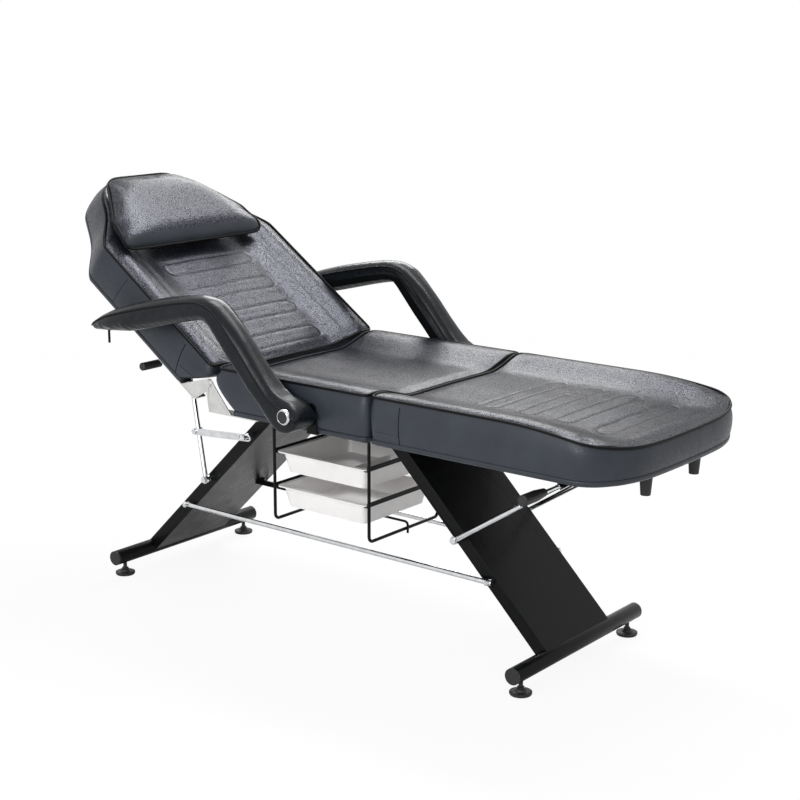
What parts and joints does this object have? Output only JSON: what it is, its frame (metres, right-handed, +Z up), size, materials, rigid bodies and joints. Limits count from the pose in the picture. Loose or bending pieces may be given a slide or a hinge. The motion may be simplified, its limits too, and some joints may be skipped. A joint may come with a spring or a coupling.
{
  "type": "massage table",
  "caption": "Three-section treatment bed with a lifting backrest, dropping leg rest, folding armrests, head pillow and sliding trays under the seat.",
  "frame": {"origin": "on the floor, under the centre of the overall box at rest", "axes": "+X towards the foot end, +Y across the bed to the side without levers, +Z up"},
  "size_m": [1.7818, 0.8098, 1.0291],
  "materials": {
    "black_paint": "glossy black powder coat",
    "chrome": "polished",
    "zinc_plate": "bright zinc plating",
    "black_leatherette": "black PU leather, grained and semi-gloss",
    "black_board": "plywood under black lining",
    "white_tray": "white moulded plastic",
    "black_rubber": "matt black"
  },
  "bodies": {
    "base": {"rear_foot_bar": "black_paint", "front_foot_bar": "black_paint", "foot_bar_caps": "black_rubber", "rear_leg": "black_paint", "front_leg": "black_paint", "leg_screws": "chrome", "seat_frame": "black_paint", "seat_board": "black_board", "seat_cushion": "black_leatherette", "tie_rods": "chrome", "tie_rod_bolts": "chrome", "rack_wire_rear": "black_paint", "rack_wire_front": "black_paint", "rack_rails": "black_paint", "rack_cross_wire": "black_paint", "rack_strap": "black_paint", "arm_brackets": "black_paint", "arm_pivot_bolts": "chrome", "seat_hinge_leaves": "zinc_plate", "back_hinge_pins": "zinc_plate", "rest_hinge_leaves": "zinc_plate", "back_strut_anchors": "chrome", "stay_anchors": "chrome", "rest_strut_anchors": "chrome"},
    "foot_rear_near": {"foot_rear_near": "black_rubber"},
    "foot_rear_far": {"foot_rear_far": "black_rubber"},
    "foot_front_near": {"foot_front_near": "black_rubber"},
    "foot_front_far": {"foot_front_far": "black_rubber"},
    "backrest": {"backrest_board": "black_board", "backrest_cushion": "black_leatherette", "backrest_hinge_leaves": "zinc_plate", "back_strut_brackets": "black_paint", "head_pillow": "black_leatherette"},
    "back_strut_tube": {"back_strut_tubes": "chrome", "stay_collars": "chrome"},
    "back_strut_rod": {"back_strut_rods": "chrome", "back_lever_plate": "black_paint"},
    "back_stay": {"back_stays": "chrome"},
    "back_lever": {"back_lever_rod": "chrome", "back_lever_grip": "black_rubber"},
    "leg_rest": {"rest_board": "black_board", "rest_cushion": "black_leatherette", "rest_bumpers": "black_rubber", "rest_strut_brackets": "black_paint", "rest_hinge_knuckles": "zinc_plate"},
    "rest_strut_tube": {"rest_strut_tubes": "chrome"},
    "rest_strut_rod": {"rest_strut_rods": "chrome", "rest_lever_plate": "black_paint"},
    "rest_lever": {"rest_lever_rod": "chrome", "rest_lever_grip": "black_rubber"},
    "armrest_near": {"arm_pad_near": "black_leatherette", "arm_plate_near": "black_paint", "arm_caps_near": "chrome"},
    "armrest_far": {"arm_pad_far": "black_leatherette", "arm_plate_far": "black_paint", "arm_caps_far": "chrome"},
    "tray_upper": {"tray_upper": "white_tray"},
    "tray_lower": {"tray_lower": "white_tray"}
  },
  "joints": [
    {"name": "backrest_hinge", "type": "hinge", "parent": "base", "child": "backrest", "pos_m": [-0.237, 0, 0.584], "axis": [0, 1, 0], "range_deg": [-35, 10]},
    {"name": "back_strut_tilt", "type": "hinge", "parent": "base", "child": "back_strut_tube", "pos_m": [-0.40676, 0, 0.283], "axis": [0, 1, 0], "range_deg": [-8, 8]},
    {"name": "back_strut_slide", "type": "slide", "parent": "back_strut_tube", "child": "back_strut_rod", "axis": [-0.1645, 0, 0.9864], "range_m": [-0.15, 0.06]},
    {"name": "back_stay_pivot", "type": "hinge", "parent": "back_strut_tube", "child": "back_stay", "pos_m": [-0.42782, 0, 0.40926], "axis": [0, 1, 0], "range_deg": [-8, 8]},
    {"name": "back_lever_pull", "type": "hinge", "parent": "back_strut_rod", "child": "back_lever", "pos_m": [-0.45917, -0.167, 0.59721], "axis": [0.1645, 0, -0.9864], "range_deg": [0, 8], "stiffness_Nm_per_rad": 6, "springref_deg": -2.86},
    {"name": "leg_rest_hinge", "type": "hinge", "parent": "base", "child": "leg_rest", "pos_m": [0.2565, 0, 0.512], "axis": [0, 1, 0], "range_deg": [0, 40]},
    {"name": "rest_strut_tilt", "type": "hinge", "parent": "base", "child": "rest_strut_tube", "pos_m": [0.38443, 0, 0.283], "axis": [0, 1, 0], "range_deg": [-2, 60]},
    {"name": "rest_strut_slide", "type": "slide", "parent": "rest_strut_tube", "child": "rest_strut_rod", "axis": [0.8412, 0, 0.5407], "range_m": [-0.18, 0.005]},
    {"name": "rest_lever_pull", "type": "hinge", "parent": "rest_strut_rod", "child": "rest_lever", "pos_m": [0.67153, -0.167, 0.46756], "axis": [-0.8412, 0, -0.5407], "range_deg": [0, 8], "stiffness_Nm_per_rad": 6, "springref_deg": -2.86},
    {"name": "armrest_near_tilt", "type": "hinge", "parent": "base", "child": "armrest_near", "pos_m": [0.095, -0.355, 0.574], "axis": [0, -1, 0], "range_deg": [0, 55]},
    {"name": "armrest_far_tilt", "type": "hinge", "parent": "base", "child": "armrest_far", "pos_m": [0.095, 0.355, 0.574], "axis": [0, -1, 0], "range_deg": [0, 55]},
    {"name": "tray_upper_slide", "type": "slide", "parent": "base", "child": "tray_upper", "axis": [0, -1, 0], "range_m": [0, 0.2]},
    {"name": "tray_lower_slide", "type": "slide", "parent": "base", "child": "tray_lower", "axis": [0, -1, 0], "range_m": [0, 0.2]},
    {"name": "foot_rear_near_screw", "type": "slide", "parent": "base", "child": "foot_rear_near", "axis": [0, 0, 1], "range_m": [-0.01, 0.01]},
    {"name": "foot_rear_far_screw", "type": "slide", "parent": "base", "child": "foot_rear_far", "axis": [0, 0, 1], "range_m": [-0.01, 0.01]},
    {"name": "foot_front_near_screw", "type": "slide", "parent": "base", "child": "foot_front_near", "axis": [0, 0, 1], "range_m": [-0.01, 0.01]},
    {"name": "foot_front_far_screw", "type": "slide", "parent": "base", "child": "foot_front_far", "axis": [0, 0, 1], "range_m": [-0.01, 0.01]}
  ],
  "couplings": [
    {"joint": "back_strut_tilt", "follows": "backrest_hinge", "ratio": 0.13647},
    {"joint": "back_strut_slide", "follows": "backrest_hinge", "m_per_rad": 0.2325},
    {"joint": "back_stay_pivot", "follows": "backrest_hinge", "ratio": -0.12317},
    {"joint": "rest_strut_tilt", "follows": "leg_rest_hinge", "ratio": 1.3126},
    {"joint": "rest_strut_slide", "follows": "leg_rest_hinge", "m_per_rad": -0.23851}
  ]
}
